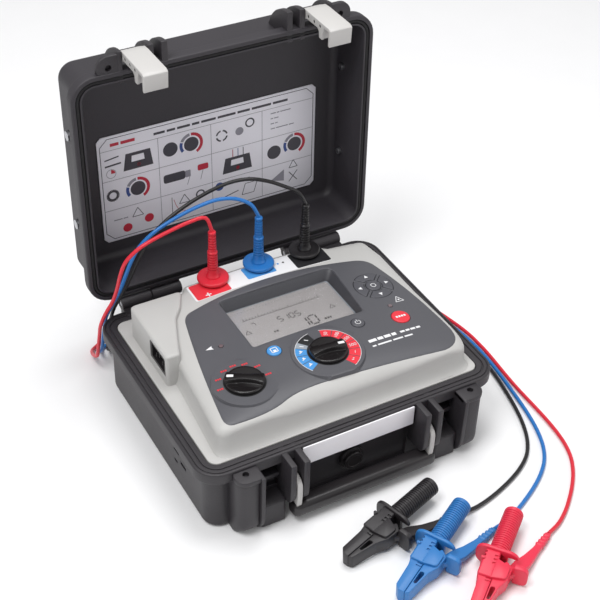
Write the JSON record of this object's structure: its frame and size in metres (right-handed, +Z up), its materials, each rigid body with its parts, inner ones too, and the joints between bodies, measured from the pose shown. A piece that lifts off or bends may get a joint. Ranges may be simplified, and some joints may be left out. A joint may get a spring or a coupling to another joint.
{
  "type": "insulation resistance tester",
  "caption": "Portable insulation resistance tester in a hinged carry case, with control panel, rotary switches, keypad, display and plug-in test leads ending in crocodile clips.",
  "frame": {"origin": "centre of the case footprint on the floor it stands on", "axes": "+X to the user's right, +Y back to the hinge, +Z up; latches and handle face -Y"},
  "size_m": [0.3779, 0.5081, 0.358],
  "materials": {
    "case_plastic": "fine moulded texture, satin",
    "seal_rubber": "matt, soft",
    "grip_plastic": "semi-matt, rounded",
    "panel_plastic": "fine texture, warm light grey",
    "latch_plastic": "smooth satin off-white",
    "facia_plastic": "fine texture, mid grey",
    "knob_plastic": "semi-gloss black",
    "window_plastic": "clear, glossy",
    "display_glass": "grey liquid-crystal panel",
    "label_print": "printed satin film",
    "steel": "plain",
    "brass": "plain",
    "circuit_board": "solder mask",
    "module_plastic": "moulded housing",
    "key_blue": "satin",
    "key_red": "satin",
    "key_grey": "satin",
    "led_lens": "diffused lens",
    "lead_red": "smooth, satin",
    "lead_blue": "smooth, satin",
    "lead_black": "smooth, satin"
  },
  "bodies": {
    "case": {"case_base": "case_plastic", "front_plate": "label_print", "relief_valve": "grip_plastic", "top_panel": "panel_plastic", "facia": "facia_plastic", "display_window": "window_plastic", "display_module": "display_glass", "voltage_switch": "module_plastic", "mode_switch": "module_plastic", "mains_inlet": "grip_plastic", "main_board": "circuit_board", "high_voltage_module": "module_plastic", "battery_pack": "module_plastic", "charge_led": "led_lens", "high_voltage_led": "led_lens", "handle_pin_left": "steel", "handle_pin_right": "steel", "hinge_pin_left": "steel", "hinge_pin_right": "steel", "terminal_positive": "brass", "terminal_negative": "brass", "terminal_guard": "brass", "cable_red": "lead_red", "cable_blue": "lead_blue", "cable_black": "lead_black", "clip_arm_red": "lead_red", "clip_arm_blue": "lead_blue", "clip_arm_black": "lead_black"},
    "lid": {"case_lid": "case_plastic", "lid_seal": "seal_rubber", "lid_label": "label_print", "lid_stud_1": "steel", "lid_stud_2": "steel", "lid_stud_3": "steel", "lid_stud_4": "steel", "latch_pin_left": "steel", "latch_pin_right": "steel"},
    "latch_left": {"latch_left": "latch_plastic"},
    "latch_right": {"latch_right": "latch_plastic"},
    "handle": {"handle_frame": "latch_plastic", "handle_grip": "grip_plastic"},
    "voltage_knob": {"voltage_knob": "knob_plastic"},
    "mode_knob": {"mode_knob": "knob_plastic"},
    "save_button": {"save_button": "key_blue"},
    "power_button": {"power_button": "key_grey"},
    "test_button": {"test_button": "key_red"},
    "ok_button": {"ok_button": "key_grey"},
    "nav_right": {"nav_right": "key_grey"},
    "nav_up": {"nav_up": "key_grey"},
    "nav_left": {"nav_left": "key_grey"},
    "nav_down": {"nav_down": "key_grey"},
    "plug_red": {"plug_red": "lead_red", "boot_red": "lead_red"},
    "plug_blue": {"plug_blue": "lead_blue", "boot_blue": "lead_blue"},
    "plug_black": {"plug_black": "lead_black", "boot_black": "lead_black"},
    "clip_grip_red": {"clip_grip_red": "lead_red"},
    "clip_grip_blue": {"clip_grip_blue": "lead_blue"},
    "clip_grip_black": {"clip_grip_black": "lead_black"}
  },
  "joints": [
    {"name": "lid_hinge", "type": "hinge", "parent": "case", "child": "lid", "pos_m": [0, 0.134, 0.078], "axis": [1, 0, 0], "range_deg": [0, 91], "deforming": ["boot_red", "boot_blue", "boot_black", "cable_red", "cable_blue", "cable_black"]},
    {"name": "latch_left_swing", "type": "hinge", "parent": "lid", "child": "latch_left", "pos_m": [-0.093, 0.14864, 0.34379], "axis": [-1, 0, 0], "range_deg": [0, 100]},
    {"name": "latch_right_swing", "type": "hinge", "parent": "lid", "child": "latch_right", "pos_m": [0.093, 0.14864, 0.34379], "axis": [-1, 0, 0], "range_deg": [0, 100]},
    {"name": "handle_swing", "type": "hinge", "parent": "case", "child": "handle", "pos_m": [0, -0.1335, 0.0435], "axis": [-1, 0, 0], "range_deg": [0, 95]},
    {"name": "voltage_knob_turn", "type": "hinge", "parent": "case", "child": "voltage_knob", "pos_m": [0.004, -0.057, 0.11], "axis": [0, 0, 1], "range_deg": [-46.5, 207.5]},
    {"name": "mode_knob_turn", "type": "hinge", "parent": "case", "child": "mode_knob", "pos_m": [-0.083, -0.057, 0.108], "axis": [0, 0, 1], "range_deg": [-150, 28]},
    {"name": "save_button_press", "type": "slide", "parent": "case", "child": "save_button", "axis": [0, 0, -1], "range_m": [0, 0.0015]},
    {"name": "power_button_press", "type": "slide", "parent": "case", "child": "power_button", "axis": [0, 0, -1], "range_m": [0, 0.0015]},
    {"name": "test_button_press", "type": "slide", "parent": "case", "child": "test_button", "axis": [0, 0, -1], "range_m": [0, 0.0015]},
    {"name": "ok_button_press", "type": "slide", "parent": "case", "child": "ok_button", "axis": [0, 0, -1], "range_m": [0, 0.0015]},
    {"name": "nav_right_press", "type": "slide", "parent": "case", "child": "nav_right", "axis": [0, 0, -1], "range_m": [0, 0.0015]},
    {"name": "nav_up_press", "type": "slide", "parent": "case", "child": "nav_up", "axis": [0, 0, -1], "range_m": [0, 0.0015]},
    {"name": "nav_left_press", "type": "slide", "parent": "case", "child": "nav_left", "axis": [0, 0, -1], "range_m": [0, 0.0015]},
    {"name": "nav_down_press", "type": "slide", "parent": "case", "child": "nav_down", "axis": [0, 0, -1], "range_m": [0, 0.0015]},
    {"name": "plug_red_lift", "type": "slide", "parent": "case", "child": "plug_red", "axis": [0, 0, -1], "range_m": [-0.022, 0]},
    {"name": "plug_blue_lift", "type": "slide", "parent": "case", "child": "plug_blue", "axis": [0, 0, -1], "range_m": [-0.022, 0]},
    {"name": "plug_black_lift", "type": "slide", "parent": "case", "child": "plug_black", "axis": [0, 0, -1], "range_m": [-0.022, 0]},
    {"name": "clip_red_squeeze", "type": "hinge", "parent": "case", "child": "clip_grip_red", "pos_m": [0.04862, -0.29058, 0.0116], "axis": [0.0591, 0.0462, -0.9972], "range_deg": [0, 12]},
    {"name": "clip_blue_squeeze", "type": "hinge", "parent": "case", "child": "clip_grip_blue", "pos_m": [0.00474, -0.2511, 0.0116], "axis": [0.0656, 0.0364, -0.9972], "range_deg": [0, 12]},
    {"name": "clip_black_squeeze", "type": "hinge", "parent": "case", "child": "clip_grip_black", "pos_m": [-0.01537, -0.20375, 0.0116], "axis": [0.0719, 0.0212, -0.9972], "range_deg": [0, 12]}
  ]
}
